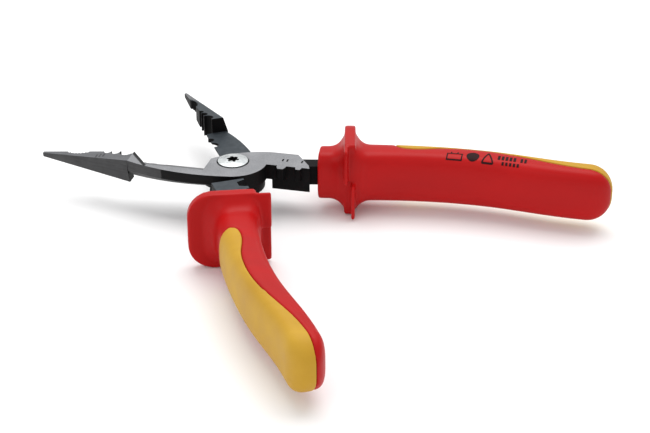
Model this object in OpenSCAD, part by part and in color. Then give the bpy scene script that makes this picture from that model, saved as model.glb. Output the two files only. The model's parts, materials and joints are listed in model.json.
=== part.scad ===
// Insulated long-nose installation pliers, 200 mm class, lying open.
// The origin is on the pivot axis, at the end face of the pivot nut. +X runs along the upper lever
// towards its grip and +Z is up. The upper lever lies along X. The lower lever is a forging of the
// same family, turned over and swung clockwise by the opening angle: its joint plate, its back edge
// and its cutting edge differ a little, and it has nests where the upper one has crimping nibs.

/* [Overall] */
// Distance from the pivot to the jaw tips
jaw_len = 69.6; // [64:0.2:84]
// Distance from the pivot to the ends of the grips
handle_len = 129.2; // [107:0.2:156]
// Thickness of the forged joint
joint_t = 9.1; // [8.5:0.1:11]
// Angle between the two levers as drawn
open_angle = 58.4; // [0:0.1:62]

/* [Jaws] */
// Distance from the pivot to the step where the jaw takes its full thickness
step_x = 35.7; // [32:0.1:40]
// Width of one jaw at the step
jaw_w = 7.9; // [7.2:0.1:9.5]
// Width of one jaw at the tip
tip_w = 1.4; // [1.2:0.1:2.4]
// Thickness of the jaw at the tip
tip_t = 1.6; // [1.2:0.1:2.6]
// Gap left between the closed jaws
jaw_gap = 0.4; // [0.3:0.05:0.8]
// Diameter of the large wire stripping hole
strip_d = 3.4; // [2.4:0.1:4.2]

/* [Joint] */
// Radius of the round joint plate
hub_r = 11.9; // [9.8:0.1:12.4]
// Radius of the pivot bolt's shank
bolt_r = 3.2; // [2.6:0.05:3.8]
// Radius of the pivot bolt's head
head_r = 5.25; // [4.6:0.05:6.3]
// Height of the lap face of the upper lever, from mid thickness
lap_z = -1.1; // [-1.6:0.1:0]
// Width across flats of the pivot nut
nut_af = 9; // [8:0.1:10.8]

/* [Crimper] */
// Distance from the pivot to the front wall of the crimping block
block_x = 13.8; // [13.2:0.1:16]
// Length of the crimping block
block_len = 13.4; // [12.8:0.1:14.2]
// Half width of the large crimping nib
nib_w = 1.6; // [1.3:0.1:1.9]

/* [Handles] */
// Half width of the steel tang
tang_w = 2.9; // [2.3:0.1:3.3]
// Half height of the steel tang
tang_h = 3.5; // [2.8:0.1:4.2]
// Half width of the grip along its middle
grip_w = 5.85; // [5.6:0.05:7]
// Half height of the grip
grip_h = 9.4; // [7.9:0.1:11.2]
// Thickness of the outer grip layer
layer_t = 1.8; // [1.5:0.1:2.2]
// Distance from the pivot to the middle of the finger guard
guard_x = 39.2; // [38:0.1:46]
// Thickness of the finger guard
guard_t = 3.8; // [3.2:0.1:4.5]
// Half height of the finger guard
guard_h = 13.4; // [12.6:0.1:15.8]

/* [Hidden] */

// Clearances
lap_gap = 0.06;      // between the two lap faces
bolt_gap = 0.04;     // radial, round the bolt's shank
head_gap = 0.35;     // radial, round the bolt's head
layer_gap = 0.05;    // between the layers of a handle
cut = 0.5;           // how far a cutting shape runs past a face

// Joint stack
half_t = joint_t / 2;
nut_proud = 0.4;
joint_z = half_t + nut_proud;
head_sink = 1.2;
head_rim = 0.3;
head_dome = 0.6;
nut_sink = 1.8;
thread_r = bolt_r - 0.4;
star_r = 2.2;
star_depth = 1.3;

// Lever outline, in the lever's own plane: jaw towards -X on the -Y side, tang towards +X, +Y
blade_y = 0.3;       // the cutting edges pass each other by twice this
upper_ridge = 0.35;  // height of the upper cutting edge, from mid thickness
lower_ridge = 1.7;
blade_top_y = -jaw_w - 0.9;
hub_front_x = -8;
neck_bulge = 2.9;
back_bulge = 2.1;
chamfer_h = 2.1;
upper_chamfer = 4.4; // how far the neck's underside is cut back
lower_chamfer = 1.8;
crook_y = 2;         // the jaw's gripping face ends this far from the closing line
crook_x = 1.4;       // and the wall that ends the jaw stands this far behind the step
face_y = 0.2;        // crimping face, from the closing line
back_y = 10;
nib_drop = 4.6;      // height of the crimping nibs, from the plate's top
nib_reach = 1.4;     // nib's reach from the closing line, in half widths
nest_gap = 0.8;      // between a nib and its nest
block_end = block_x + block_len;
slant = 6.4;         // how far the block's rear end leans towards the pivot
tang_end = handle_len - 17;

// Handle centre line: rises from the collar to a bow, then falls a little to the end
collar_x = 28.9;
collar_turn = 0.5;   // share of the line's angle that the collar's front face takes
turn_len = 8;        // the rest comes in over this length
rim_h = 0.4;         // how far the guard's rim stands above the skin beside it
root_x = 31;
root_y = 7.8;
bow_x = handle_len - 45.4;
bow_rise = 7.3;
bow_fall = 2.2;
bow_end_x = handle_len - 11.4;
end_w = 5.4;         // rounding of the grip's end, sideways
end_h = 8.2;         // rounding of the grip's end, upwards
collar_w = 5.8;
collar_h = 8.9;
flare_w = 1.0;       // extra half width of the grip just behind the guard
crown_w = 0.9;       // how far the outer side bulges at mid height, strongest at crown_x
crown_x = 56;
fillet_r = 4.9;      // concave blend each side of the guard
guard_out = 16.2;    // guard's reach outwards from the centre line
guard_clear = 3.05;  // guard's inner face to the closing line
fin_cross = 1.65;    // how far the interlocking fins reach past the closing line
fin_t = 1.3;
fin_gap = 0.3;       // from mid height to each fin
sleeve_x = 30.2;     // front end of the inner sleeve
inlay_x = 54;        // front end of the grip inlay
inlay_depth = 1.1;
squareness = 3.4;    // exponent of the rounded rectangular section
ring_points = 24;

function line_y(x) =
    x < bow_x ? root_y + bow_rise * sin(90 * (x - root_x) / (bow_x - root_x))
    : root_y + bow_rise
        - bow_fall * (1 - cos(180 * min(1, (x - bow_x) / (bow_end_x - bow_x)))) / 2;
guard_in = line_y(guard_x) - guard_clear;
fin_in = line_y(guard_x) + fin_cross;
function line_angle(x) = atan((line_y(x + 0.1) - line_y(x - 0.1)) / 0.2);

// Points from p to q along an arc that bulges to the right by h, or to the left if h is negative
function bow(p, q, h, n = 12) =
    let (d = q - p, l = norm(d), side = [d[1], -d[0]] * sign(h) / l, rise = abs(h),
         r = (l * l / 4 + rise * rise) / (2 * rise))
    [for (i = [0:n]) let (t = i / n) p + d * t
        + side * (sqrt(r * r - pow(l * (t - 0.5), 2)) - (r - rise))];

// Concave quarter circle: full at the guard's face, nothing one radius away
function fillet(d) = d >= fillet_r ? 0 : fillet_r - sqrt(pow(fillet_r, 2) - pow(fillet_r - d, 2));
function end_round(x) =
    let (d = handle_len - x) d >= end_h ? 0 : 1 - sqrt(1 - pow((end_h - d) / end_h, 2));
function side_w(x) = x < guard_x ? collar_w
    : grip_w + flare_w * exp(-(x - guard_x - guard_t / 2) / 14) - end_w * end_round(x);
function side_h(x) = x < guard_x ? collar_h : grip_h - end_h * end_round(x);
function guard_d(x) = max(0, abs(x - guard_x) - guard_t / 2);

// One ring of a handle's skin: a rounded rectangle square to the centre line
function ring(x, inset, flare) =
    let (f = flare * fillet(guard_d(x)),
         w_out = side_w(x) + f - inset,
         w_in = side_w(x) + min(f, guard_in - collar_w) - inset,
         h = min(side_h(x) + f, guard_h - rim_h) - inset,
         turn = line_angle(x) * min(1, collar_turn + (x - collar_x) / turn_len))
    [for (i = [0:ring_points - 1])
        let (a = 360 * (i + 0.5) / ring_points,
             c = sign(cos(a)) * pow(abs(cos(a)), 2 / squareness),
             s = sign(sin(a)) * pow(abs(sin(a)), 2 / squareness),
             crown = crown_w * exp(-pow((x - crown_x) / 20, 2)) * pow(max(0, cos(a)), 3),
             w = c * (c > 0 ? w_out : w_in) + crown)
        [x - w * sin(turn), line_y(x) + w * cos(turn), h * s]];

// Closed skin through rings at the given distances
module skin(xs, inset, flare) {
    rings = [for (x = xs) each ring(x, inset, flare)];
    m = ring_points;
    last = len(xs) - 1;
    sides = [for (k = [0:last - 1], i = [0:m - 1])
        [k * m + i, (k + 1) * m + i, (k + 1) * m + (i + 1) % m, k * m + (i + 1) % m]];
    front = [for (i = [0:m - 1]) i];
    back = [for (i = [m - 1:-1:0]) last * m + i];
    polyhedron(points = rings, faces = concat(sides, [front, back]), convexity = 4);
}

flare_steps = [1, 0.72, 0.48, 0.28, 0.12, 0.02];
end_steps = [0.65, 0.38, 0.18, 0.06, 0.004];
grip_xs = concat(
    [collar_x, guard_x - guard_t / 2 - fillet_r - 0.4],
    [for (d = flare_steps) guard_x - guard_t / 2 - d * fillet_r],
    [for (i = [len(flare_steps) - 1:-1:0]) guard_x + guard_t / 2 + flare_steps[i] * fillet_r],
    [for (i = [1:7]) guard_x + guard_t / 2 + fillet_r
        + (handle_len - end_h - guard_x - guard_t / 2 - fillet_r) * i / 7],
    [for (d = end_steps) handle_len - end_h * d]);
sleeve_end = handle_len - end_h - 1;
sleeve_xs = concat([sleeve_x, guard_x - guard_t / 2 - 2, guard_x + guard_t / 2 + 2],
    [for (i = [1:9]) guard_x + guard_t / 2 + 2 + (sleeve_end - guard_x - guard_t / 2 - 2) * i / 9]);

// The core under the inlay starts ahead of it and ends short of the grip's end
core_start = inlay_x - 4;
core_end = handle_len - inlay_depth - 0.6;
core_xs = concat([for (i = [0:6]) core_start + (core_end - end_h - core_start) * i / 6],
    [for (d = [0.7, 0.4, 0.18, 0.03]) core_end - end_h * d]);

// Moves from a lever's own frame to the part's frame
module place_upper() {
    translate([0, 0, joint_z]) children();
}
module place_lower() {
    translate([0, 0, joint_z]) rotate([0, 0, -open_angle]) rotate([180, 0, 0]) children();
}

module jaw_section(x, w, t, lean) {
    translate([x, 0, 0]) rotate([90, 0, 90]) linear_extrude(height = 0.01)
        polygon([[-jaw_gap / 2, -t / 2], [-jaw_gap / 2, t / 2], [-w, t / 2],
                 [-w - lean * 0.1, t * 0.12], [-w + lean * 1.6, -t / 2]]);
}

// Grooves across the gripping face: a fine curved bed, then three deep pipe-grip scallops
module jaw_grooves() {
    bed_x = -step_x - 0.61 * (jaw_len - step_x);
    bed_half = 4.3;
    bed_depth = 1.2;
    tooth_angle = 8;
    bed_r = (bed_half * bed_half + bed_depth * bed_depth) / (2 * bed_depth);
    translate([bed_x, bed_r - bed_depth - jaw_gap / 2, 0]) {
        cylinder(r = bed_r, h = joint_t + 2 * cut, center = true, $fn = 96);
        for (i = [-3:3])
            rotate([0, 0, -90 + i * tooth_angle]) translate([bed_r, 0, 0])
                cylinder(r = 0.45, h = joint_t + 2 * cut, center = true, $fn = 16);
    }
    // each: distance ahead of the step, radius, depth of its centre
    for (g = [[9.9, 1.2, 0.3], [6.8, 1.5, 0.7], [2.7, 2.2, 1]])
        translate([-step_x - g[0], -g[2], 0])
            cylinder(r = g[1], h = joint_t + 2 * cut, center = true, $fn = 48);
    translate([-step_x - 1.6, -crook_y, -half_t - cut])
        cube([2 * crook_y, 2 * crook_y, joint_t + 2 * cut]);
}

module jaw() {
    difference() {
        hull() {
            jaw_section(-jaw_len, tip_w, tip_t, 0.2);
            jaw_section(-step_x, jaw_w, joint_t, 1);
        }
        jaw_grooves();
    }
}

// Flat outline of the joint plate: the neck of the jaw, the round joint and the rear plate
neck_root = [-step_x, -jaw_w];
module neck_outline(r, inset) {
    polygon(concat(bow(neck_root + [0, inset * 0.3], [r * 0.28, inset - r * 0.96], neck_bulge),
        [[hub_front_x + 4, 0], [hub_front_x, blade_y], [-step_x + jaw_gap, blade_y],
         [-step_x, -jaw_gap / 2]]));
}
module rear_outline(r, back) {
    shoulder = [block_x - 2, back];
    polygon(concat([[0, 0], [r, face_y], [block_end, face_y],
        [block_end - 0.9, face_y + 2.4], [block_end - slant, back]],
        bow(shoulder, [hub_front_x, face_y], back_bulge), [[hub_front_x, 0]]));
}
module hub_outline(r) {
    intersection() {
        circle(r = r, $fn = 128);
        translate([-2 * r, -2 * r]) square([4 * r, 2 * r + face_y]);
    }
}

// Bevel that leaves the cutting edge at blade_y, ridge_z high, on the neck's inner side
module blade_bevel(ridge_z) {
    length = step_x + hub_front_x;
    bevel_lean = 39;
    bevel_reach = (step_x - crook_x) * cos(bevel_lean) + crook_y * sin(bevel_lean);
    intersection() {
        translate([hub_front_x - length, 0, 0]) rotate([90, 0, 90])
            linear_extrude(height = length)
                polygon([[blade_y + 4, ridge_z], [blade_y, ridge_z], [blade_top_y, half_t],
                         [blade_top_y, half_t + 4], [blade_y + 4, half_t + 4]]);
        rotate([0, 0, 180 + bevel_lean]) translate([-step_x, -2 * step_x, -joint_t])
            cube([step_x + bevel_reach, 4 * step_x, 3 * joint_t]);
    }
}

// Crimping nibs, or with side = -1 and some growth the nests that take the other lever's nibs
module nib_pair(side, grow, height) {
    for (nib = [[block_x + 3.5, nib_w], [block_x + 9.5, nib_w * 0.68]])
        translate([nib[0], 0, half_t - height]) mirror([0, side < 0 ? 1 : 0, 0])
            linear_extrude(height = height) nib_shape(nib[1], grow);
}
module nib_shape(w, grow) {
    foot = w + grow;
    tip = 0.6 * foot;
    reach = nib_reach * w + grow;
    polygon([[-foot, w], [-foot, -0.5 * w], [-tip, -reach], [tip, -reach], [foot, -0.5 * w], [foot, w]]);
}

// Steel tang along the handle's centre line
module tang(grow, x0, x1) {
    steps = 14;
    xs = [for (i = [0:steps]) x0 + (x1 - x0) * i / steps];
    translate([0, 0, -tang_h - grow])
        linear_extrude(height = 2 * (tang_h + grow))
            polygon(concat([for (x = xs) [x, line_y(x) - tang_w - grow]],
                [for (i = [steps:-1:0]) [xs[i], line_y(xs[i]) + tang_w + grow]]));
}

// One forged lever in its own frame: plate above lap, cutting edge ridge_z high, round joint of
// radius r, back edge at back, underside of the neck cut back by chamfer_in
module lever(lap, ridge_z, r, back, chamfer_in, with_nibs) {
    difference() {
        union() {
            jaw();
            translate([0, 0, lap + chamfer_h])
                linear_extrude(height = half_t - lap - chamfer_h) neck_outline(r, 0);
            hull() {
                translate([0, 0, lap + chamfer_h]) linear_extrude(height = 0.01) neck_outline(r, 0);
                translate([0, 0, lap]) linear_extrude(height = 0.01) neck_outline(r, chamfer_in);
            }
            translate([0, 0, lap]) linear_extrude(height = half_t - lap) {
                hub_outline(r);
                rear_outline(r, back);
            }
            translate([0, 0, -half_t]) linear_extrude(height = joint_t)
                intersection() {
                    rear_outline(r, back);
                    translate([block_x, -cut]) square([2 * block_len, 2 * back]);
                }
            if (with_nibs) nib_pair(1, 0, nib_drop);
            tang(0, block_end - slant - 0.5, tang_end);
        }
        blade_bevel(ridge_z);
        for (hole = [[0.73, 1], [0.85, 0.76]]) translate([-step_x * hole[0], 0, 0])
            cylinder(d = strip_d * hole[1], h = 2 * joint_t, center = true, $fn = 48);
        if (!with_nibs) nib_pair(-1, nest_gap, joint_t + cut);
        gauge_ticks();
        cylinder(r = bolt_r + bolt_gap, h = 2 * joint_t, center = true, $fn = 64);
    }
}

// Plain gauge ticks beside the crimping places
module gauge_ticks() {
    tick_depth = 0.25;
    for (x = [block_x + 2.6, block_x + 4.2, block_x + 9.4])
        translate([x, face_y + 3.6, half_t - tick_depth])
            cube([0.5, 1.8, 2 * tick_depth]);
}

module upper_lever() {
    color([0.62, 0.63, 0.64]) place_upper()
        difference() {
            lever(lap_z + lap_gap / 2, upper_ridge, hub_r, back_y, upper_chamfer, true);
            translate([0, 0, half_t - head_sink])
                cylinder(r = head_r + head_gap, h = head_sink + cut, $fn = 96);
        }
}

module lower_lever() {
    color([0.3, 0.33, 0.35]) place_lower()
        difference() {
            lever(-lap_z + lap_gap / 2, lower_ridge, hub_r - 0.9, back_y + 1.4, lower_chamfer, false);
            translate([0, 0, half_t - nut_sink]) nut_blank(layer_gap, nut_sink + cut);
        }
}

module nut_blank(grow, height) {
    cylinder(r = nut_af / sqrt(3) + grow, h = height, $fn = 6);
}

module pivot_bolt() {
    head_z = joint_z + half_t - head_sink;
    top_z = joint_z + half_t + head_rim;
    dome_r = (head_r * head_r + head_dome * head_dome) / (2 * head_dome);
    color([0.8, 0.8, 0.78])
        difference() {
            union() {
                cylinder(r = thread_r, h = head_z, $fn = 64);
                translate([0, 0, nut_proud + nut_sink])
                    cylinder(r = bolt_r, h = head_z - nut_proud - nut_sink, $fn = 64);
                translate([0, 0, head_z]) cylinder(r = head_r, h = top_z - head_z, $fn = 96);
                intersection() {
                    translate([0, 0, top_z + head_dome - dome_r]) sphere(r = dome_r, $fn = 128);
                    translate([0, 0, top_z]) cylinder(r = head_r, h = head_dome + cut, $fn = 96);
                }
            }
            translate([0, 0, top_z + head_dome - star_depth]) star_recess();
        }
}

// Six-lobed drive recess
module star_recess() {
    linear_extrude(height = star_depth + cut) {
        circle(r = star_r * 0.72, $fn = 48);
        for (i = [0:5]) rotate(60 * i) translate([star_r * 0.74, 0]) circle(r = star_r * 0.26, $fn = 24);
    }
}

module pivot_nut() {
    color([0.35, 0.36, 0.37])
        rotate([0, 0, -open_angle])
            difference() {
                nut_blank(0, nut_sink + nut_proud - layer_gap);
                translate([0, 0, -cut]) cylinder(r = thread_r + bolt_gap, h = 2 * nut_sink, $fn = 64);
            }
}

module inner_sleeve() {
    difference() {
        skin(sleeve_xs, layer_t, 0);
        tang(layer_gap, sleeve_x - 2, tang_end + layer_gap);
    }
}

// Sideways place of the inlay's edge on the grip's top and bottom faces
function inlay_edge(x) =
    let (t = (x - inlay_x) / (handle_len - inlay_x))
    0.9 + 2.2 * cos(280 * (t - 0.36)) - exp(-pow((t - 0.12) / 0.08, 2)) + 3.4 * exp(-46 * t);

// The side of the grip that the inlay covers
module inlay_side(grow) {
    steps = 24;
    xs = [for (i = [0:steps]) inlay_x - grow + (handle_len + cut - inlay_x) * pow(i / steps, 1.6)];
    translate([0, 0, -2 * grip_h]) linear_extrude(height = 4 * grip_h)
        polygon(concat([for (x = xs) [x, line_y(x) + inlay_edge(x) - grow]],
            [[handle_len + 2, 4 * back_y], [inlay_x - grow, 4 * back_y]]));
}

// Outer layer of the grip on that side
module inlay(grow) {
    intersection() {
        difference() {
            skin(grip_xs, 0, 1);
            skin(core_xs, inlay_depth + grow, 0);
        }
        inlay_side(grow);
    }
}

module guard() {
    translate([guard_x, line_y(guard_x), 0]) rotate([0, 0, line_angle(guard_x)]) {
        rotate([90, 0, 90]) translate([0, 0, -guard_t / 2]) linear_extrude(height = guard_t)
            guard_outline();
        for (side = [1, -1])
            translate([-fin_t / 2 - side * (guard_t - fin_t) / 2, 0, 0])
                mirror([0, 0, side < 0 ? 1 : 0]) rotate([90, 0, 90])
                    linear_extrude(height = fin_t) fin_outline();
    }
}
module fin_outline() {
    corner_r = 0.8;
    top = guard_h - 0.3;
    translate([-fin_in, fin_gap]) square([fin_in, top - corner_r - fin_gap]);
    translate([corner_r - fin_in, fin_gap]) square([fin_in - corner_r, top - fin_gap]);
    translate([corner_r - fin_in, top - corner_r]) circle(r = corner_r, $fn = 32);
}
module guard_outline() {
    outer_r = 8.5;
    inner_r = 1.2;
    for (side = [1, -1]) {
        translate([guard_out - outer_r, side * (guard_h - outer_r)]) circle(r = outer_r, $fn = 48);
        translate([inner_r - guard_in, side * (guard_h - inner_r)]) circle(r = inner_r, $fn = 24);
    }
    translate([-guard_in, inner_r - guard_h])
        square([guard_in + guard_out - outer_r, 2 * (guard_h - inner_r)]);
    translate([inner_r - guard_in, -guard_h])
        square([guard_in + guard_out - inner_r - outer_r, 2 * guard_h]);
    translate([0, outer_r - guard_h]) square([guard_out, 2 * (guard_h - outer_r)]);
}

module grip_shell() {
    difference() {
        union() {
            skin(grip_xs, 0, 1);
            guard();
        }
        skin(sleeve_xs, layer_t - layer_gap, 0);
        tang(layer_gap, block_end, tang_end + layer_gap);
        inlay(layer_gap);
    }
}

module upper_inner_sleeve() {
    color([0.85, 0.7, 0.3]) place_upper() inner_sleeve();
}
module lower_inner_sleeve() {
    color([0.85, 0.7, 0.3]) place_lower() inner_sleeve();
}
module upper_grip_shell() {
    color([0.75, 0.11, 0.11]) place_upper() grip_shell();
}
module lower_grip_shell() {
    color([0.75, 0.11, 0.11]) place_lower() grip_shell();
}
module upper_grip_inlay() {
    color([0.85, 0.68, 0.28]) place_upper() inlay(0);
}
module lower_grip_inlay() {
    color([0.85, 0.68, 0.28]) place_lower() inlay(0);
}

upper_lever();
lower_lever();
pivot_bolt();
pivot_nut();
upper_inner_sleeve();
lower_inner_sleeve();
upper_grip_shell();
lower_grip_shell();
upper_grip_inlay();
lower_grip_inlay();
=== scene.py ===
import json
import math

import bmesh
import bpy
import numpy as np
from mathutils import Matrix, Vector
from mathutils.bvhtree import BVHTree


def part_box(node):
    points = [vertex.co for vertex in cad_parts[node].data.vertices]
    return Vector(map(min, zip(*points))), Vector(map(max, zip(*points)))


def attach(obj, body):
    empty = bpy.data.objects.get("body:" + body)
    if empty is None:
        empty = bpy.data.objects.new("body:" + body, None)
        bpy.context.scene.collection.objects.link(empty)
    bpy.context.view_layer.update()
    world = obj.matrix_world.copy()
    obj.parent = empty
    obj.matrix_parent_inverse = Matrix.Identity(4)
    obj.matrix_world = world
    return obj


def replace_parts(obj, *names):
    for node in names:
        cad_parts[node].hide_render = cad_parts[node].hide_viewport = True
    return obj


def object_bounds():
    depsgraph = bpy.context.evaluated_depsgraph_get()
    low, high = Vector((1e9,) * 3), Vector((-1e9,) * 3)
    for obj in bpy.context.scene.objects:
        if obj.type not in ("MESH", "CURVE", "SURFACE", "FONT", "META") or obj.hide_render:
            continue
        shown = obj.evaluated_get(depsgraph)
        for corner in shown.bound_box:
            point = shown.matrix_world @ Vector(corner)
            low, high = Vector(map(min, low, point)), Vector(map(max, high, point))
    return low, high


MM = 0.001
WELD = 0.002 * MM          # points of a CAD mesh closer than this are one
UPPER, LOWER = "upper", "lower"

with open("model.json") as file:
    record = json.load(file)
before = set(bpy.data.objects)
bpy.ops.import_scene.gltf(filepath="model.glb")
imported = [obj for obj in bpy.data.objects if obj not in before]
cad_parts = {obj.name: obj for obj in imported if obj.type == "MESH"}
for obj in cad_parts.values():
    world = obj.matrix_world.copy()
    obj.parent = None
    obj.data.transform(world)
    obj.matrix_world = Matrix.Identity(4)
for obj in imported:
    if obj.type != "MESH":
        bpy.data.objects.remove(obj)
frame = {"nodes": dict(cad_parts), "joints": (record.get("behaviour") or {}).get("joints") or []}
cad_box = [list(corner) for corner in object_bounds()]

# ---------------------------------------------------------------- what the frame says

OPEN_ANGLE = math.radians(frame["joints"][0]["range_deg"][1])
lever_low, lever_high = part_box("upper_lever")
JOINT_Z = (lever_low.z + lever_high.z) / 2          # mid thickness of the joint
HALF_T = (lever_high.z - lever_low.z) / 2
inlay_low, inlay_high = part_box("upper_grip_inlay")
HANDLE_LEN = inlay_high.x
FLOOR_Z = cad_box[0][2]


def place(side):
    """Matrix from a lever's own frame to the part's frame."""
    lift = Matrix.Translation((0, 0, JOINT_Z))
    if side == UPPER:
        return lift
    return lift @ Matrix.Rotation(-OPEN_ANGLE, 4, "Z") @ Matrix.Rotation(math.pi, 4, "X")


# ---------------------------------------------------------------- handle, in a lever's own frame, in mm

HANDLE = HANDLE_LEN / MM
ROOT = (31.0, 7.8)
BOW_X, BOW_RISE, BOW_FALL = HANDLE - 45.4, 7.3, 2.2
BOW_END_X = HANDLE - 11.4
GRIP_W, GRIP_H = 5.85, 9.4
COLLAR_X, COLLAR_W, COLLAR_H = 28.9, 5.8, 8.9
COLLAR_TURN = 0.5          # share of the line's angle that the collar's front face takes
TURN_LEN = 8               # the rest comes in over this length
END_W, END_H = 5.4, 8.2
GUARD_X, GUARD_T, GUARD_H = 39.2, 3.8, 13.4
GUARD_OUT, GUARD_CLEAR, FIN_CROSS = 16.2, 3.05, 1.65
RIM_H = 0.4                # how far the guard's rim stands above the skin beside it
FIN_T, FIN_GAP, FIN_DROP = 1.3, 0.3, 0.3
FLARE_W, FLARE_LEN, FILLET_R = 1.0, 14, 4.9
CROWN_W, CROWN_X, CROWN_LEN = 0.9, 56.0, 20
INLAY_X, INLAY_DEPTH = inlay_low.x / MM, 1.1
SEAM = 0.05                # half width of the groove between the two colours
PROUD = 0.07               # how far the softer inlay stands out
END_ROOM = 0.6             # extra room that an inner skin keeps from the handle's end
SQUARENESS = 3.4
SHELL_VOXEL, INLAY_VOXEL, SMOOTH_PASSES = 0.38, 0.26, 16


def line_y(x):
    """Centre line of the handle."""
    rise = BOW_RISE * np.sin(np.pi / 2 * (x - ROOT[0]) / (BOW_X - ROOT[0]))
    along = np.clip((x - BOW_X) / (BOW_END_X - BOW_X), 0, 1)
    fall = BOW_FALL * (1 - np.cos(np.pi * along)) / 2
    return ROOT[1] + np.where(x < BOW_X, rise, BOW_RISE - fall)


def line_angle(x):
    return np.arctan((line_y(x + 0.1) - line_y(x - 0.1)) / 0.2)


GUARD_IN = float(line_y(GUARD_X)) - GUARD_CLEAR
FIN_IN = float(line_y(GUARD_X)) + FIN_CROSS


def ring(x, inset, flare, count):
    """One ring of the handle's skin: a rounded rectangle square to the centre line."""
    from_guard = max(0.02 * FILLET_R, abs(x - GUARD_X) - GUARD_T / 2)
    blend = 0.0
    if from_guard < FILLET_R:
        blend = flare * (FILLET_R - math.sqrt(FILLET_R ** 2 - (FILLET_R - from_guard) ** 2))
    to_end = HANDLE - x
    rounding = 0.0
    if to_end < END_H:
        rounding = 1 - math.sqrt(max(0.0, 1 - ((END_H - to_end) / END_H) ** 2))
    before = x < GUARD_X
    flared = FLARE_W * math.exp(-(x - GUARD_X - GUARD_T / 2) / FLARE_LEN)
    width = COLLAR_W if before else GRIP_W + flared - END_W * rounding
    height = COLLAR_H if before else GRIP_H - END_H * rounding
    w_out = width + blend - inset
    w_in = width + min(blend, GUARD_IN - COLLAR_W) - inset
    h = min(height + blend, GUARD_H - RIM_H) - inset
    turn = float(line_angle(x)) * min(1.0, COLLAR_TURN + (x - COLLAR_X) / TURN_LEN)
    angle = 2 * np.pi * (np.arange(count) + 0.5) / count
    c = np.sign(np.cos(angle)) * np.abs(np.cos(angle)) ** (2 / SQUARENESS)
    s = np.sign(np.sin(angle)) * np.abs(np.sin(angle)) ** (2 / SQUARENESS)
    crown = CROWN_W * math.exp(-((x - CROWN_X) / CROWN_LEN) ** 2) * np.maximum(0, np.cos(angle)) ** 3
    w = c * np.where(c > 0, w_out, w_in) + crown
    return np.stack([x - w * math.sin(turn), float(line_y(x)) + w * math.cos(turn), h * s], 1)


def add_object(name, data):
    obj = bpy.data.objects.new(name, data)
    bpy.context.scene.collection.objects.link(obj)
    return obj


def mesh_object(name, points, faces):
    """Object from points in mm in a lever's own frame."""
    mesh = bpy.data.meshes.new(name)
    mesh.from_pydata([tuple(p * MM) for p in np.asarray(points, float)], [], faces)
    mesh.validate()
    obj = add_object(name, mesh)
    fix_normals(obj)
    return obj


def fix_normals(obj):
    bm = bmesh.new()
    bm.from_mesh(obj.data)
    bmesh.ops.recalc_face_normals(bm, faces=bm.faces)
    bm.to_mesh(obj.data)
    bm.free()


def loft(name, rings):
    """Closed skin through equal rings of points."""
    count = len(rings[0])
    faces = []
    for k in range(len(rings) - 1):
        for i in range(count):
            j = (i + 1) % count
            faces.append((k * count + i, (k + 1) * count + i, (k + 1) * count + j, k * count + j))
    faces.append(tuple(range(count)))
    faces.append(tuple((len(rings) - 1) * count + i for i in reversed(range(count))))
    return mesh_object(name, np.concatenate(rings), faces)


def slab_faces(count):
    """Faces of a slab whose points are an outline, and then the same outline moved."""
    faces = [tuple(reversed(range(count))), tuple(range(count, 2 * count))]
    return faces + [(i, (i + 1) % count, count + (i + 1) % count, count + i) for i in range(count)]


def prism(name, outline, low, high):
    """Upright prism on an outline of (x, y) points, in mm."""
    points = [(x, y, z) for z in (low, high) for x, y in outline]
    return mesh_object(name, points, slab_faces(len(outline)))


def combine(obj, other, operation):
    """Boolean of obj with other, applied."""
    modifier = obj.modifiers.new("combine", "BOOLEAN")
    modifier.operation = operation
    modifier.object = other
    modifier.solver = "MANIFOLD"
    bake_modifiers(obj)
    bpy.data.objects.remove(other)
    return obj


def bake_modifiers(obj):
    """Applies every modifier."""
    bpy.context.view_layer.update()
    graph = bpy.context.evaluated_depsgraph_get()
    mesh = bpy.data.meshes.new_from_object(obj.evaluated_get(graph))
    old = obj.data
    obj.modifiers.clear()
    obj.data = mesh
    bpy.data.meshes.remove(old)


def soften(obj, voxel, passes):
    """Remeshes evenly and smooths, so that moulded edges come out rounded."""
    remesh = obj.modifiers.new("remesh", "REMESH")
    remesh.mode = "VOXEL"
    remesh.voxel_size = voxel * MM
    smooth = obj.modifiers.new("smooth", "SMOOTH")
    smooth.factor = 0.5
    smooth.iterations = passes
    bake_modifiers(obj)
    obj.data.shade_smooth()
    return obj


def spaced(start, end, step):
    return list(np.linspace(start, end, max(2, int(round((end - start) / step)) + 1)))


def outer_skin(name, inset, flare, start=None):
    """The handle's skin, dense enough to look smooth."""
    end = HANDLE - (inset + END_ROOM if inset > 0 else 0)
    xs = spaced(COLLAR_X if start is None else start, end - END_H, 0.8)
    xs += [end - END_H * (1 - math.sin(math.radians(a))) for a in range(6, 90, 6)]
    xs.append(end - 0.01)
    return loft(name, [ring(x, inset, flare, 96) for x in xs])


def arc(centre, radius, start, end, count=10):
    angles = np.radians(np.linspace(start, end, count))
    return [(centre[0] + radius * math.cos(a), centre[1] + radius * math.sin(a)) for a in angles]


def guard_outline():
    """Across the handle and up, in mm: well rounded outside, nearly square inside."""
    outer, inner = 8.5, 1.2
    right, left = GUARD_OUT - outer, inner - GUARD_IN
    top_out, top_in = GUARD_H - outer, GUARD_H - inner
    points = arc((right, top_out), outer, 0, 90, 16) + arc((left, top_in), inner, 90, 180, 6)
    points += arc((left, -top_in), inner, 180, 270, 6) + arc((right, -top_out), outer, 270, 360, 16)
    return points


def turned(points):
    """Points (along, across, up) at the guard to a lever's own frame."""
    turn = float(line_angle(GUARD_X))
    spin = np.array([[math.cos(turn), -math.sin(turn)], [math.sin(turn), math.cos(turn)]])
    points = np.asarray(points, float)
    flat = points[:, :2] @ spin.T + (GUARD_X, float(line_y(GUARD_X)))
    return np.column_stack([flat, points[:, 2]])


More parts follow.
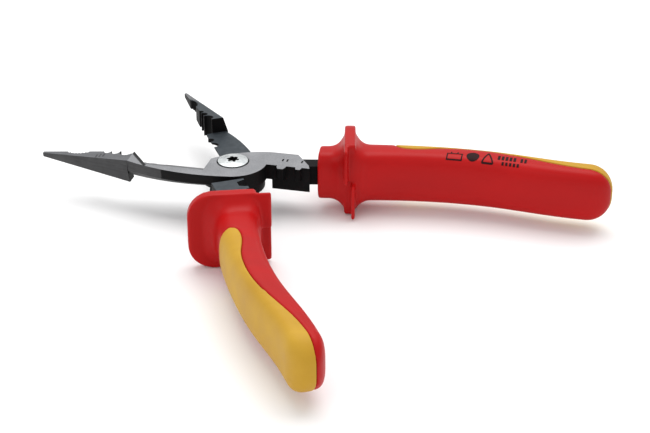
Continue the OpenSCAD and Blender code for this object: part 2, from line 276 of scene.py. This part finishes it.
def guard_slab(name, outline, low, high):
    """Plate across the handle, between two places along it, on an outline of (across, up) points."""
    points = [(s, w, h) for s in (low, high) for w, h in outline]
    return mesh_object(name, turned(points), slab_faces(len(outline)))


def fin_outline(side):
    """Fin that reaches past the closing line, above mid height or below it."""
    corner, top = 0.8, GUARD_H - FIN_DROP
    points = [(0, FIN_GAP), (0, top)] + arc((corner - FIN_IN, top - corner), corner, 90, 180, 8)
    points.append((-FIN_IN, FIN_GAP))
    return [(w, side * h) for w, h in points]


def guard_fin(name, side):
    """The fin above mid height stands nearer the head, and the one below nearer the grip."""
    middle = -side * (GUARD_T - FIN_T) / 2
    return guard_slab(name, fin_outline(side), middle - FIN_T / 2, middle + FIN_T / 2)


def inlay_edge(x):
    """Sideways place of the inlay's edge on the grip's top and bottom faces."""
    t = (x - INLAY_X) / (HANDLE - INLAY_X)
    wave = 2.2 * np.cos(np.radians(280 * (t - 0.36)))
    return 0.9 + wave - np.exp(-((t - 0.12) / 0.08) ** 2) + 3.4 * np.exp(-46 * t)


def inlay_side(name, grow):
    """The side of the grip that the inlay covers."""
    t = np.linspace(0, 1, 90) ** 1.8
    xs = INLAY_X - grow + (HANDLE + 1 - INLAY_X) * t
    outline = [(x, float(line_y(x) + inlay_edge(x)) - grow) for x in xs]
    outline += [(HANDLE + 3, 45), (INLAY_X - grow, 45)]
    return prism(name, outline, -2 * GRIP_H, 2 * GRIP_H)


def inlay_body(name, grow, proud):
    body = outer_skin(name, -proud, 1)
    combine(body, outer_skin("core", INLAY_DEPTH + grow, 0, INLAY_X - 4), "DIFFERENCE")
    return combine(body, inlay_side("side", grow), "INTERSECT")


def grip_shell(name):
    shell = outer_skin(name, 0, 1)
    combine(shell, guard_slab("plate", guard_outline(), -GUARD_T / 2, GUARD_T / 2), "UNION")
    combine(shell, guard_fin("fin", 1), "UNION")
    combine(shell, guard_fin("fin", -1), "UNION")
    combine(shell, inlay_body("pocket", SEAM, 1.0), "DIFFERENCE")
    return shell


# ---------------------------------------------------------------- materials

def linear(r, g, b):
    """sRGB 0..255 to linear."""
    def one(v):
        v /= 255
        return v / 12.92 if v <= 0.04045 else ((v + 0.055) / 1.055) ** 2.4
    return (one(r), one(g), one(b), 1)


class Shader:
    """Small helper round a Principled material's node tree."""

    def __init__(self, name, metallic, side=UPPER, **sockets):
        self.material = bpy.data.materials.new(name)
        self.material.use_nodes = True
        self.tree = self.material.node_tree
        self.bsdf = self.tree.nodes["Principled BSDF"]
        self.bsdf.inputs["Metallic"].default_value = metallic
        for socket, value in sockets.items():
            self.bsdf.inputs[socket.replace("_", " ")].default_value = value
        self.coords = self.tree.nodes.new("ShaderNodeTexCoord").outputs["Object"]
        if side == LOWER:       # the lower lever's own axes, apart from a shift along Z
            mapping = self.node("ShaderNodeMapping")
            mapping.inputs["Rotation"].default_value = (math.pi, 0, -OPEN_ANGLE)
            self.link(self.coords, mapping.inputs["Vector"])
            self.coords = mapping.outputs["Vector"]

    def node(self, kind, **settings):
        made = self.tree.nodes.new(kind)
        for key, value in settings.items():
            if key in made.inputs:
                made.inputs[key].default_value = value
            else:
                setattr(made, key, value)
        return made

    def axes(self):
        split = self.node("ShaderNodeSeparateXYZ")
        self.link(self.coords, split.inputs[0])
        return split.outputs

    def link(self, source, target):
        self.tree.links.new(source, target)

    def stretched(self, scale, turn=0.0):
        mapping = self.node("ShaderNodeMapping")
        mapping.inputs["Scale"].default_value = scale
        mapping.inputs["Rotation"].default_value = (0, 0, turn)
        self.link(self.coords, mapping.inputs["Vector"])
        return mapping.outputs["Vector"]

    def noise(self, scale, detail=4.0, roughness=0.55, vector=None):
        made = self.node("ShaderNodeTexNoise", Scale=scale, Detail=detail, Roughness=roughness)
        self.link(vector or self.coords, made.inputs["Vector"])
        return made.outputs["Fac"]

    def spread(self, value, low, high, from_low=0.3, from_high=0.7):
        """Maps a 0..1 pattern to a range."""
        made = self.node("ShaderNodeMapRange")
        for socket, number in (("From Min", from_low), ("From Max", from_high),
                               ("To Min", low), ("To Max", high)):
            made.inputs[socket].default_value = number
        self.link(value, made.inputs["Value"])
        return made.outputs["Result"]

    def between(self, value, first, second):
        """Colour between two, by a 0..1 value."""
        made = self.node("ShaderNodeMix", data_type="RGBA")
        made.inputs[6].default_value = first
        made.inputs[7].default_value = second
        self.link(value, made.inputs[0])
        return made.outputs[2]

    def blend(self, factor, first, second):
        """Colour between two patterns, by a 0..1 pattern."""
        made = self.node("ShaderNodeMix", data_type="RGBA")
        for socket, source in ((0, factor), (6, first), (7, second)):
            self.link(source, made.inputs[socket])
        return made.outputs[2]

    def limits(self, value, low, high, soft=0.0003):
        """1 between two places along an axis, 0 outside, with a short ramp at each end."""
        rise = self.spread(value, 0, 1, low - soft, low + soft)
        fall = self.spread(value, 1, 0, high - soft, high + soft)
        return self.math("MULTIPLY", rise, fall)

    def math(self, operation, a, b):
        made = self.node("ShaderNodeMath", operation=operation)
        for socket, value in zip(made.inputs, (a, b)):
            if isinstance(value, (int, float)):
                socket.default_value = value
            else:
                self.link(value, socket)
        return made.outputs[0]

    def bump(self, height, distance, strength=1.0):
        made = self.node("ShaderNodeBump", Strength=strength, Distance=distance)
        self.link(height, made.inputs["Height"])
        self.link(made.outputs["Normal"], self.bsdf.inputs["Normal"])

    def colour(self, value):
        self.link(value, self.bsdf.inputs["Base Color"])

    def rough(self, value):
        self.link(value, self.bsdf.inputs["Roughness"])


# Where the finishes end, in mm in a lever's own frame
GROUND_END_X = -22.3                     # the jaw's outer side is ground from the tip to here
CROOK_LEAN = 39.0                        # the wall of the jaw's crook leans by this, in degrees
CROOK_AT = -27.9                         # and stands this far from the pivot
CROOK_RIM = 1.3                          # the rim along it is black for this width
CROOK_FROM, CROOK_TO = -36.0, -28.5      # and between these two places
SLIVER_FROM, SLIVER_TO = -23.8, -10.6    # black sliver where the grinding stops beside the blade
SLIVER_SLOPE, SLIVER_LOW, SLIVER_HIGH = -0.31, 1.8, 20.0
PATCH_SLOPE = -0.52                      # ground patch along the jaw's tip, on the underside
PATCH_START, PATCH_FULL = 31.8, 33.0
RECESS_R, RECESS_Z = 2.35, 10.2          # the bolt's recess, where shade is painted dark: within this radius, below this height
TURNING_MARKS = 42000.0                  # turning marks on the bolt, in radians per metre


def satin_steel(name, dark, light, roughness, metallic=0.55):
    """Blasted and ground steel: even fine grain, and dark along the rim of the jaw's crook."""
    s = Shader(name, metallic, Specular_IOR_Level=0.3)
    cloud = s.noise(150, 4)
    fine = s.noise(2100, 3, 0.75)
    tone = s.math("ADD", s.math("MULTIPLY", cloud, 0.25), s.math("MULTIPLY", fine, 0.75))
    ground = s.between(s.spread(tone, 0, 1, 0.38, 0.62), dark, light)
    x, y = s.axes()[:2]
    lean = math.radians(CROOK_LEAN)
    from_wall = s.math("ADD", s.math("MULTIPLY", x, math.cos(lean)),
                       s.math("MULTIPLY", y, math.sin(lean)))
    rim = s.math("MULTIPLY", s.limits(from_wall, (CROOK_AT - CROOK_RIM) * MM, 0, 0.0002),
                 s.limits(x, CROOK_FROM * MM, CROOK_TO * MM))
    black = s.between(s.spread(fine, 0, 1), linear(18, 18, 19), linear(38, 38, 39))
    s.colour(s.blend(rim, ground, black))
    s.rough(s.spread(fine, roughness - 0.05, roughness + 0.07))
    lines = s.noise(900, 2, 0.6, s.stretched((0.12, 2.6, 1.0), 0.35))
    height = s.math("ADD", s.math("MULTIPLY", fine, 0.7), s.math("MULTIPLY", lines, 0.4))
    s.bump(height, 0.00003, 0.5)
    return s.material


def jaw_steel(side):
    """Top of the jaw and the blade's bevel: long grinding marks, dark where the grinding stops short."""
    s = Shader(side + "_jaw_steel", 0.55, side, Specular_IOR_Level=0.3)
    x, y = s.axes()[:2]
    lines = s.noise(900, 3, 0.65, s.stretched((0.12, 1.2, 1.0)))
    fine = s.noise(2000, 3, 0.7)
    tone = s.math("ADD", s.math("MULTIPLY", lines, 0.6), s.math("MULTIPLY", fine, 0.4))
    ground = s.between(s.spread(tone, 0, 1, 0.36, 0.64), linear(93, 94, 97), linear(116, 117, 120))
    black = s.between(s.spread(fine, 0, 1), linear(20, 20, 21), linear(46, 46, 47))
    slope = s.math("ADD", s.math("MULTIPLY", x, SLIVER_SLOPE), s.spread(s.noise(500, 3), -0.0003, 0.0003))
    edge = s.math("ADD", y, slope)
    sliver = s.math("MULTIPLY", s.limits(x, SLIVER_FROM * MM, SLIVER_TO * MM, 0.001),
                    s.limits(edge, SLIVER_LOW * MM, SLIVER_HIGH * MM))
    s.colour(s.blend(sliver, ground, black))
    s.rough(s.spread(lines, 0.42, 0.54))
    s.bump(tone, 0.00003, 0.5)
    return s.material


def ground_side_steel(side):
    """Coarse grinding marks along the jaw's outer side, black oxide past the end of the grinding."""
    s = Shader(side + "_ground_side_steel", 0.6, side, Specular_IOR_Level=0.3)
    x = s.axes()[0]
    end, ramp = GROUND_END_X * MM, 0.0002
    past = s.spread(s.math("ADD", x, s.spread(s.noise(500, 2), -0.00015, 0.00015)), 0, 1,
                    end - ramp, end + ramp)
    lines = s.noise(600, 3, 0.65, s.stretched((0.1, 0.5, 4.0)))
    cloud = s.noise(160, 4)
    tone = s.math("ADD", s.math("MULTIPLY", lines, 0.5), s.math("MULTIPLY", cloud, 0.5))
    ground = s.between(s.spread(tone, 0, 1, 0.36, 0.64), linear(58, 58, 59), linear(78, 78, 79))
    black = s.between(s.spread(s.noise(260, 5), 0, 1), linear(7, 7, 8), linear(15, 15, 16))
    s.colour(s.blend(past, ground, black))
    s.rough(s.spread(lines, 0.42, 0.58))
    s.bump(lines, 0.00004, 0.45)
    return s.material


def black_oxide():
    s = Shader("black_oxide", 0.0, Specular_IOR_Level=0.1)
    cloud = s.noise(240, 5)
    fine = s.noise(2600, 3, 0.7)
    s.colour(s.between(s.spread(cloud, 0, 1), linear(7, 7, 8), linear(16, 15, 16)))
    s.rough(s.spread(fine, 0.46, 0.6))
    s.bump(s.math("ADD", s.math("MULTIPLY", cloud, 0.5), fine), 0.00003, 0.5)
    return s.material


def gunmetal(side):
    """Underside and lap faces: dark and bluish, with a ground patch along the jaw's tip."""
    s = Shader(side + "_gunmetal", 0.55, side, Specular_IOR_Level=0.25)
    lines = s.noise(700, 3, 0.6, s.stretched((3.0, 0.3, 1.0), 0.6))
    cloud = s.noise(420, 4)
    tone = s.math("ADD", s.math("MULTIPLY", lines, 0.4), s.math("MULTIPLY", cloud, 0.6))
    blued = s.between(s.spread(tone, 0, 1, 0.36, 0.64), linear(57, 63, 68), linear(73, 79, 84))
    bare = s.between(s.spread(tone, 0, 1), linear(100, 101, 103), linear(132, 133, 135))
    x, y = s.axes()[:2]
    to_tip = s.math("SUBTRACT", s.math("MULTIPLY", x, PATCH_SLOPE), y)
    patch = s.spread(s.math("ADD", to_tip, s.spread(cloud, -0.0007, 0.0007)), 0, 1,
                     PATCH_START * MM, PATCH_FULL * MM)
    s.colour(s.blend(patch, blued, bare))
    s.rough(s.spread(lines, 0.42, 0.56))
    s.bump(lines, 0.00003, 0.4)
    return s.material


def plated_steel_and_recess_shade():
    """Bright plated bolt with turning marks round its axis, and painted shade in its drive recess."""
    s = Shader("plated_steel_and_recess_shade", 0.9, Anisotropic=0.4)
    x, y, z = s.axes()
    radius = s.math("SQRT", s.math("ADD", s.math("MULTIPLY", x, x), s.math("MULTIPLY", y, y)), 0.0)
    rings = s.math("SINE", s.math("MULTIPLY", radius, TURNING_MARKS), 0.0)
    patch = s.noise(500, 4)
    plate = s.between(s.spread(patch, 0, 1), linear(196, 201, 202), linear(232, 236, 236))
    # painted shade: the drive recess gets a dark colour where its hollow lies in shade
    dark = s.between(s.spread(patch, 0, 1), linear(34, 34, 34), linear(74, 74, 73))
    deep = s.spread(z, 1, 0, RECESS_Z * MM - 0.00005, RECESS_Z * MM + 0.00005)
    inside = s.spread(radius, 1, 0, RECESS_R * MM - 0.00002, RECESS_R * MM + 0.00002)
    s.colour(s.blend(s.math("MULTIPLY", deep, inside), plate, dark))
    s.rough(s.spread(patch, 0.26, 0.36))
    s.bump(s.math("ADD", s.math("MULTIPLY", rings, 0.3), patch), 0.00002, 0.4)
    return s.material


def moulded(name, low, high, roughness):
    """Moulded plastic: fine spark-eroded grain, faint flow marks and handling gloss."""
    s = Shader(name, 0.0, Specular_IOR_Level=0.18)
    flow = s.noise(70, 4, 0.5, s.stretched((0.5, 1.4, 1.0)))
    grain = s.noise(5200, 2, 0.6)
    s.colour(s.between(s.spread(flow, 0, 1), low, high))
    s.rough(s.spread(s.math("ADD", s.math("MULTIPLY", flow, 0.6), s.math("MULTIPLY", grain, 0.4)),
                     roughness - 0.06, roughness + 0.07, 0.38, 0.62))
    s.bump(s.math("ADD", s.math("MULTIPLY", grain, 0.5), flow), 0.00006, 0.35)
    return s.material


def print_ink(name, low, high):
    s = Shader(name, 0.0, Specular_IOR_Level=0.1)
    wear = s.noise(2200, 3)
    s.colour(s.between(s.spread(wear, 0, 1), low, high))
    s.rough(s.spread(wear, 0.45, 0.6))
    s.bump(wear, 0.00002, 0.3)
    return s.material


steel_top = satin_steel("ground_top_steel", linear(126, 127, 130), linear(160, 161, 164), 0.5)
steel_black = black_oxide()
bright = plated_steel_and_recess_shade()
red = moulded("red_plastic", linear(170, 8, 9), linear(182, 12, 13), 0.42)
yellow = moulded("yellow_plastic", linear(186, 141, 40), linear(200, 157, 52), 0.5)
ink = print_ink("print_ink", linear(22, 12, 13), linear(52, 18, 19))
etch = print_ink("laser_etch", linear(58, 58, 60), linear(96, 96, 98))


# ---------------------------------------------------------------- levers

TOP, JAW, SIDE, BLACK, UNDER = range(5)
TANG_X = 26.5 * MM            # the tang behind the crimping block is black all round
HEAD_X = -8 * MM              # the neck and the jaw lie ahead of here
TOP_X = -32 * MM              # the ground top reaches ahead to here
SIDE_X = -4 * MM              # and the ground side back to here
FLAT_UP, FLAT_DOWN = 0.97, -0.95          # height of a normal that counts as facing up or down
LEANS_UP, LEANS_OUT = 0.2, -0.3
EDGE_R = 0.12 * MM            # the forging's edges are broken by this
TICK = 0.1 * MM               # whatever lies deeper than this below the plate's top is engraved


def surface_of(face):
    """Which finish a face of a lever has, from its place in the lever's own frame."""
    centre, normal = face.calc_center_median(), face.normal
    if centre.x > TANG_X:
        return BLACK
    if normal.z > FLAT_UP and centre.z > HALF_T - TICK and centre.x > TOP_X:
        return TOP
    if centre.x < HEAD_X and normal.z > LEANS_UP:
        return JAW
    if normal.z < FLAT_DOWN:
        return UNDER
    if centre.x < SIDE_X and normal.y < LEANS_OUT:
        return SIDE
    return BLACK


def detailed_lever(node, side):
    """The forged lever with broken edges and its separate finishes."""
    mesh = frame["nodes"][node].data.copy()
    mesh.materials.clear()
    obj = add_object(node + "_forging", mesh)
    bm = bmesh.new()
    bm.from_mesh(mesh)
    bmesh.ops.remove_doubles(bm, verts=bm.verts, dist=WELD)
    bmesh.ops.dissolve_limit(bm, angle_limit=math.radians(1.5), verts=bm.verts, edges=bm.edges)
    bmesh.ops.recalc_face_normals(bm, faces=bm.faces)
    bm.transform(place(side).inverted())
    for face in bm.faces:
        face.normal_update()
        face.material_index = surface_of(face)
        face.smooth = True
    bm.transform(place(side))
    bm.to_mesh(mesh)
    bm.free()
    for material in (steel_top, jaw_steel(side), ground_side_steel(side),
                     steel_black, gunmetal(side)):
        mesh.materials.append(material)
    bevel = obj.modifiers.new("broken_edges", "BEVEL")
    bevel.width = EDGE_R
    bevel.segments = 2
    bevel.limit_method = "ANGLE"
    bevel.angle_limit = math.radians(28)
    bevel.use_clamp_overlap = False
    weighted = obj.modifiers.new("flat_faces", "WEIGHTED_NORMAL")
    weighted.mode = "FACE_AREA"
    weighted.weight = 100
    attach(obj, side + "_half")
    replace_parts(obj, node)
    return obj


upper_forging = detailed_lever("upper_lever", UPPER)
detailed_lever("lower_lever", LOWER)


# ---------------------------------------------------------------- grips

def paint(obj, material):
    obj.data.materials.clear()
    obj.data.materials.append(material)


def finished_grip(side):
    """The shell and the inlay of one handle, in place of the CAD ones. Returns the shell."""
    shell = grip_shell(side + "_grip_moulding")
    shell.data.transform(place(side))
    for inner in (side + "_inner_sleeve", side + "_lever"):
        cutter = add_object("cutter", frame["nodes"][inner].data.copy())
        bm = bmesh.new()
        bm.from_mesh(cutter.data)
        bmesh.ops.remove_doubles(bm, verts=bm.verts, dist=WELD)
        bm.to_mesh(cutter.data)
        bm.free()
        combine(shell, cutter, "DIFFERENCE")
    soften(shell, SHELL_VOXEL, SMOOTH_PASSES)
    paint(shell, red)
    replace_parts(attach(shell, side + "_half"), side + "_grip_shell")
    inlay = inlay_body(side + "_grip_inlay_soft", 0, PROUD)
    inlay.data.transform(place(side))
    soften(inlay, INLAY_VOXEL, SMOOTH_PASSES)
    paint(inlay, yellow)
    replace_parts(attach(inlay, side + "_half"), side + "_grip_inlay")
    return shell


upper_shell = finished_grip(UPPER)
finished_grip(LOWER)


# ---------------------------------------------------------------- CAD nodes that stay

for kept_node, finish in (("pivot_bolt", bright), ("pivot_nut", steel_black),
                          ("upper_inner_sleeve", yellow), ("lower_inner_sleeve", yellow)):
    paint(frame["nodes"][kept_node], finish)


# ---------------------------------------------------------------- marks on the upper grip and jaw

MARK_LIFT, MARK_T = 0.04 * MM, 0.1 * MM   # height of a mark's middle, and its thickness
MARK_CELL = 0.5                           # size of its faces, in mm
ABOVE = 0.1                               # marks are dropped onto the part from this height


def bar(x, y, w, h):
    return [(x, y), (x + w, y), (x + w, y + h), (x, y + h)]


def mark_shapes():
    """Plain bars, a disc and outlines: (along, across) points in mm from the start of the row."""
    shapes = [bar(0, 0, 5.4, 0.4), bar(0, 2.6, 5.4, 0.4), bar(0, 0.4, 0.4, 2.2)]
    shapes += [bar(5.0, 0.4, 0.4, 2.2), bar(1.2, 3.0, 0.4, 0.9), bar(3.4, 3.0, 0.4, 0.9)]
    shapes += [arc((8.9, 2.3), 2.2, 0, 342, 20)]
    peak, left, right = (14.0, 5.1), (12.2, 0.1), (16.0, 0.1)
    for a, b in ((left, peak), (peak, right), (right, left)):
        a, b = np.array(a), np.array(b)
        across = np.array([-(b - a)[1], (b - a)[0]]) / np.linalg.norm(b - a) * 0.25
        shapes.append([tuple(a - across), tuple(b - across), tuple(b + across), tuple(a + across)])
    for count, start, step, low, width, height in (
            (5, 17.4, 1.35, 1.8, 0.85, 2.4), (2, 25.2, 1.3, 1.8, 0.8, 2.4), (5, 19.0, 1.3, 0.0, 0.75, 1.0)):
        shapes += [bar(start + step * i, low, width, height) for i in range(count)]
    return shapes


def fine_grid(outline, step):
    """Points inside an outline and on it, on a square grid, as a flat mesh of small faces."""
    bm = bmesh.new()
    bm.faces.new([bm.verts.new((x, y, 0)) for x, y in outline])
    for axis in (0, 1):
        low = min(p[axis] for p in outline)
        high = max(p[axis] for p in outline)
        for place_on_axis in np.arange(low + step, high, step):
            point, normal = [0, 0, 0], [0, 0, 0]
            point[axis], normal[axis] = place_on_axis, 1
            bmesh.ops.bisect_plane(bm, geom=bm.verts[:] + bm.edges[:] + bm.faces[:], dist=1e-6,
                                   plane_co=point, plane_no=normal)
    return bm


def surface_marks(name, shapes, to_place, surface, material):
    """Thin marks on a piece of the upper half: each shape is cut into small faces that drop onto it."""
    source = bmesh.new()
    source.from_mesh(surface.data)
    tree = BVHTree.FromBMesh(source)
    source.free()
    made = bmesh.new()
    for shape in shapes:
        grid = fine_grid(shape, MARK_CELL)
        copies = {}
        for vert in grid.verts:
            x, y = to_place(vert.co.x, vert.co.y)
            hit = tree.ray_cast(Vector((x * MM, y * MM, ABOVE)), Vector((0, 0, -1)))[0]
            copies[vert] = made.verts.new((x * MM, y * MM, hit.z + MARK_LIFT))
        for face in grid.faces:
            made.faces.new([copies[v] for v in face.verts])
        grid.free()
    bmesh.ops.recalc_face_normals(made, faces=made.faces)
    mesh = bpy.data.meshes.new(name)
    made.to_mesh(mesh)
    made.free()
    obj = add_object(name, mesh)
    mesh.materials.append(material)
    solid = obj.modifiers.new("film", "SOLIDIFY")
    solid.thickness = MARK_T
    solid.offset = 0
    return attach(obj, UPPER + "_half")


def on_grip(along, across):
    x = 72.5 + along
    return x, float(line_y(x)) - 4.5 + across


def on_jaw(along, across):
    return -48.6 + along, -5.2 + across


surface_marks("grip_print_marks", mark_shapes(), on_grip, upper_shell, ink)
surface_marks("jaw_etched_marks", [bar(1.2 * i, 0.4 * i, 0.45, 2.2) for i in range(3)], on_jaw,
              upper_forging, etch)


# ---------------------------------------------------------------- camera, floor and light

def make_camera():
    """Stands where the object was seen from: above and in front, a little to the right of the pivot."""
    position = Vector((0.1529575, -0.5068494, 0.2639422 + JOINT_Z))
    yaw, pitch, roll = -0.2331189, -0.4889439, -0.00255917
    forward = Vector((math.sin(yaw) * math.cos(pitch), math.cos(yaw) * math.cos(pitch),
                      math.sin(pitch)))
    level = Vector((math.cos(yaw), -math.sin(yaw), 0))
    upright = level.cross(forward)
    right = level * math.cos(roll) + upright * math.sin(roll)
    up = upright * math.cos(roll) - level * math.sin(roll)
    data = bpy.data.cameras.new("camera")
    data.sensor_width = 36
    data.lens = 94.44
    data.clip_start, data.clip_end = 0.01, 20
    camera = add_object("camera", data)
    camera.matrix_world = Matrix((
        (right.x, up.x, -forward.x, position.x),
        (right.y, up.y, -forward.y, position.y),
        (right.z, up.z, -forward.z, position.z),
        (0, 0, 0, 1)))
    bpy.context.scene.camera = camera


FLOOR_GAP = 0.2 * MM          # the floor lies this far under the part


def make_floor():
    size = 3
    mesh = bpy.data.meshes.new("floor")
    corners = [(-size, -size, 0), (size, -size, 0), (size, size, 0), (-size, size, 0)]
    mesh.from_pydata(corners, [], [(0, 1, 2, 3)])
    floor = add_object("floor", mesh)
    floor.location.z = FLOOR_Z - FLOOR_GAP
    s = Shader("floor_paper", 0.0, Roughness=0.9)
    s.colour(s.between(s.spread(s.noise(3), 0, 1), (0.93, 0.93, 0.93, 1), (0.96, 0.96, 0.96, 1)))
    mesh.materials.append(s.material)


def area_light(name, position, target, size, energy):
    data = bpy.data.lights.new(name, "AREA")
    data.shape = "RECTANGLE"
    data.size, data.size_y = size
    data.energy = energy
    light = add_object(name, data)
    light.location = position
    light.rotation_mode = "QUATERNION"
    light.rotation_quaternion = (Vector(position) - Vector(target)).to_track_quat("Z", "Y")


def make_light():
    world = bpy.data.worlds.new("studio")
    bpy.context.scene.world = world
    world.use_nodes = True
    background = world.node_tree.nodes["Background"]
    background.inputs["Color"].default_value = (1, 1, 1, 1)
    background.inputs["Strength"].default_value = 0.76
    middle = (0.04, -0.03, 0)
    area_light("overhead", (0.05, 0.25, 0.75), middle, (0.9, 0.6), 4.8)
    area_light("front", (-0.35, -0.6, 0.5), middle, (0.5, 0.4), 0.8)


make_camera()
make_floor()
make_light()
bpy.context.scene.view_settings.view_transform = "Standard"
